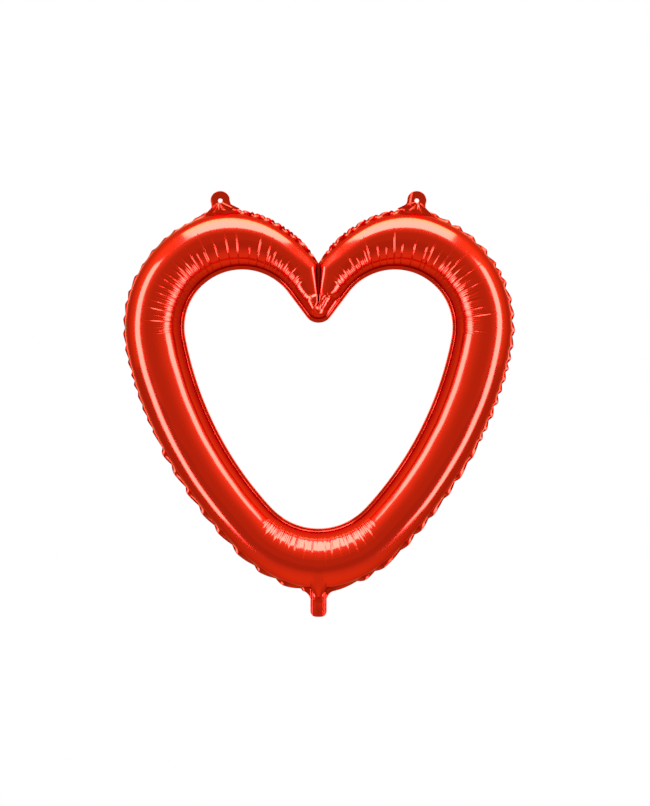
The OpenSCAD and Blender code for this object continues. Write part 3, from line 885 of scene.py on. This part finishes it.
def neck_seals():
    """The flat seals down both sides, as one piece of two strips, slightly wavy."""
    strips = []
    for side in (-1, 1):
        ends = sorted((side * neck_half_film, side * NECK_W / 2))
        x, z = neck_grid(*ends, 3)
        out = (np.abs(x) - neck_half_film) / NECK_SEAL_W
        wave = NECK_SEAL_WAVE * np.sin(z / NECK_SEAL_WAVE_RUN + side) * out
        front = np.stack([x, wave - NECK_SEAL_HALF, z], -1)
        back = np.stack([x, wave + NECK_SEAL_HALF, z], -1)
        points = np.concatenate([front, back[:, ::-1]], 1)
        strips.append(skin(f"neck_seal_{side}", points, ring=False, flip=True))
    with bpy.context.temp_override(active_object=strips[0], selected_editable_objects=strips):
        bpy.ops.object.join()
    strips[0].name = "neck_seals"
    strips[0].data.materials.append(seal_foil)
    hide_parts("tail_side_welds")
    return strips[0]


neck_pieces = [
    neck_film("neck_front_film", -1, "tail_front_film"),
    neck_film("neck_back_film", 1, "tail_back_film"),
    neck_seals(),
]
for piece in neck_pieces:
    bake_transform(piece)

# ---------------------------------------------------------------------------------------
# The self-closing valve inside the neck: two limp clear films and the seals that hold them.
# Its CAD solids have the right shape, so they only get their milky, creased finish.
VALVE_FILM = (0.86, 0.87, 0.86)
VALVE_FILM_CREASED = (0.70, 0.72, 0.71)

valve_finish, _ = film_material(
    "valve_film",
    (VALVE_FILM, VALVE_FILM_CREASED),
    scales=(120, 160, 0.3),
    rubbed_range=(0, 1),
    rough_range=(0.25, 0.45),
    relief_height=0.0002,
    relief_share=0.6,
)
valve_shader = valve_finish.node_tree.nodes["Principled BSDF"]
valve_shader.inputs["IOR"].default_value = 1.5
valve_shader.inputs["Coat Weight"].default_value = 0.2
for node in ("valve_front_film", "valve_back_film", "valve_side_welds", "valve_root_welds"):
    piece = frame["nodes"][node]
    piece.data.materials.clear()
    piece.data.materials.append(valve_finish)

# ---------------------------------------------------------------------------------------
# The studio: a pale floor in a white room, one large soft light overhead and a tall soft
# light at each side, in front of the balloon, which give the film its long highlights.
FLOOR_DROP = 1.25
FLOOR_HALF = 8.0
SOFT_TOP = 24.0             # radiance of the overhead light, where the white room is 1
SOFT_SIDE = 22.0
SOFT_COLOUR = (0.6, 0.85, 3.0)       # cool lamps in a warmer room
SECOND_GLINT = 0.12         # how bright a lamp is in a reflection of its reflection


def lamp(name, place, aim, size, radiance):
    """A soft rectangular light. The film's slight haze dims it where it is reflected twice."""
    light = bpy.data.lights.new(name, "AREA")
    light.shape = "RECTANGLE"
    light.size, light.size_y = size
    light.energy = radiance * math.pi * size[0] * size[1]
    light.color = SOFT_COLOUR
    light.use_nodes = True
    nodes, links = light.node_tree.nodes, light.node_tree.links
    path = nodes.new("ShaderNodeLightPath")
    haze = nodes.new("ShaderNodeMapRange")
    for key, value in (("From Min", 2), ("From Max", 3), ("To Min", 1), ("To Max", SECOND_GLINT)):
        haze.inputs[key].default_value = value
    links.new(path.outputs["Ray Depth"], haze.inputs["Value"])
    links.new(haze.outputs["Result"], nodes["Emission"].inputs["Strength"])
    made = bpy.data.objects.new(name, light)
    made.location = place
    toward = Vector(aim) - Vector(place)
    made.rotation_euler = toward.to_track_quat("-Z", "Y").to_euler()
    made.visible_camera = False
    bpy.context.scene.collection.objects.link(made)


# The overhead light's aim is a hair off straight down, which settles the way it is turned
lamp("top_light", place=(0, -0.85, 2.2), aim=(0, -0.8501, 0), size=(3.0, 2.5), radiance=SOFT_TOP)
for side in (-1, 1):
    lamp(
        f"side_light_{side}",
        place=(side * 1.7, -0.8, -0.13),
        aim=(0, 0, -0.13),
        size=(0.75, 2.9),
        radiance=SOFT_SIDE,
    )


def ranged(tree, source, over, to):
    """A soft ramp over part of a value's range, from one number to another, in the given node tree."""
    step = tree.nodes.new("ShaderNodeMapRange")
    step.interpolation_type = "SMOOTHSTEP"
    for key, value in zip(("From Min", "From Max", "To Min", "To Max"), (*over, *to)):
        step.inputs[key].default_value = value
    tree.links.new(source, step.inputs["Value"])
    return step.outputs["Result"]


def summed(tree, a, b):
    """The sum of two values, in the given node tree."""
    step = tree.nodes.new("ShaderNodeMath")
    tree.links.new(a, step.inputs[0])
    tree.links.new(b, step.inputs[1])
    return step.outputs[0]


def seen_white(tree, glow):
    """The glow as the balloon reflects it, but plain white where the camera looks straight at it."""
    seen = tree.nodes.new("ShaderNodeMix")
    tree.links.new(tree.nodes.new("ShaderNodeLightPath").outputs["Is Camera Ray"], seen.inputs["Factor"])
    tree.links.new(glow, seen.inputs["A"])
    seen.inputs["B"].default_value = 1.0
    return seen.outputs["Result"]


# The white room, brighter overhead and at the sides than behind the camera
world = bpy.data.worlds.new("white_room")
bpy.context.scene.world = world
world.use_nodes = True
room = world.node_tree
split = room.nodes.new("ShaderNodeSeparateXYZ")
room.links.new(room.nodes.new("ShaderNodeTexCoord").outputs["Generated"], split.inputs[0])
size_x = room.nodes.new("ShaderNodeMath")
size_x.operation = "ABSOLUTE"
room.links.new(split.outputs["X"], size_x.inputs[0])
sideways = ranged(room, size_x.outputs[0], over=(0.16, 0.90), to=(0.61, 0.95))
overhead = ranged(room, split.outputs["Z"], over=(0.16, 0.72), to=(0.0, 0.44))
far_glow = ranged(room, split.outputs["Y"], over=(0.20, 0.80), to=(0.74, 0.50))
far_overhead = ranged(room, split.outputs["Z"], over=(0.10, 0.70), to=(0.0, 0.30))
to_far_side = ranged(room, split.outputs["Y"], over=(-0.10, 0.30), to=(0.0, 1.0))
room_glow = room.nodes.new("ShaderNodeMix")
room.links.new(to_far_side, room_glow.inputs["Factor"])
room.links.new(summed(room, sideways, overhead), room_glow.inputs["A"])
room.links.new(summed(room, far_glow, far_overhead), room_glow.inputs["B"])
background = room.nodes["Background"]
background.inputs["Color"].default_value = (1, 1, 1, 1)
room.links.new(seen_white(room, room_glow.outputs["Result"]), background.inputs["Strength"])

# The floor glows with a painted pool of light, brightest right under the balloon; the camera sees it plain
# white
floor_mesh = bpy.data.meshes.new("floor")
floor_corners = [(x * FLOOR_HALF, y * FLOOR_HALF, 0) for x, y in ((-1, -1), (1, -1), (1, 1), (-1, 1))]
floor_mesh.from_pydata(floor_corners, [], [(0, 1, 2, 3)])
floor = bpy.data.objects.new("floor", floor_mesh)
floor.location.z = cad_low.z - FLOOR_DROP
bpy.context.scene.collection.objects.link(floor)
floor_paint = bpy.data.materials.new("pale_floor")
floor_paint.use_nodes = True
paint = floor_paint.node_tree
paint.nodes.remove(paint.nodes["Principled BSDF"])
floor_glow = paint.nodes.new("ShaderNodeEmission")
spread = paint.nodes.new("ShaderNodeVectorMath")
spread.operation = "LENGTH"
paint.links.new(paint.nodes.new("ShaderNodeTexCoord").outputs["Object"], spread.inputs[0])
painted_light_pool = ranged(paint, spread.outputs["Value"], over=(0.3, 2.6), to=(0.90, 0.52))
paint.links.new(seen_white(paint, painted_light_pool), floor_glow.inputs["Strength"])
paint.links.new(floor_glow.outputs["Emission"], paint.nodes["Material Output"].inputs["Surface"])
floor_mesh.materials.append(floor_paint)
bpy.context.scene.view_settings.view_transform = "Standard"
